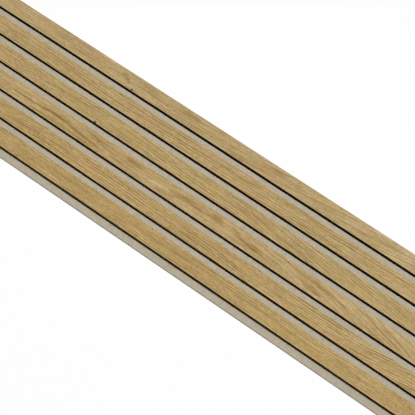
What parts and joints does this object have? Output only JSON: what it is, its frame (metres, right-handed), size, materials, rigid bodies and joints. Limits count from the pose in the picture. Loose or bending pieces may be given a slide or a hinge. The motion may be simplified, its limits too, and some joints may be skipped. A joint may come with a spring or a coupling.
{
  "type": "acoustic slat panel",
  "caption": "Narrow acoustic wall panel: oak-veneered black MDF slats glued at an even pitch to a light grey felt board, with a bare felt strip along one edge.",
  "frame": {"origin": "centre of the felt's back face, which is the panel's underside as it lies", "axes": "+X along the slats, +Y across them towards the edge where the first slat is flush, +Z out of the slats' faces"},
  "size_m": [1.2, 0.24, 0.021],
  "materials": {
    "felt": "matte needle felt",
    "black_mdf": "matte, dyed black",
    "oak_veneer": "matt lacquered oak"
  },
  "bodies": {
    "root": {"felt_backing": "felt", "slat_core_1": "black_mdf", "slat_core_2": "black_mdf", "slat_core_3": "black_mdf", "slat_core_4": "black_mdf", "slat_core_5": "black_mdf", "slat_core_6": "black_mdf", "slat_veneer_1": "oak_veneer", "slat_veneer_2": "oak_veneer", "slat_veneer_3": "oak_veneer", "slat_veneer_4": "oak_veneer", "slat_veneer_5": "oak_veneer", "slat_veneer_6": "oak_veneer"}
  },
  "joints": []
}
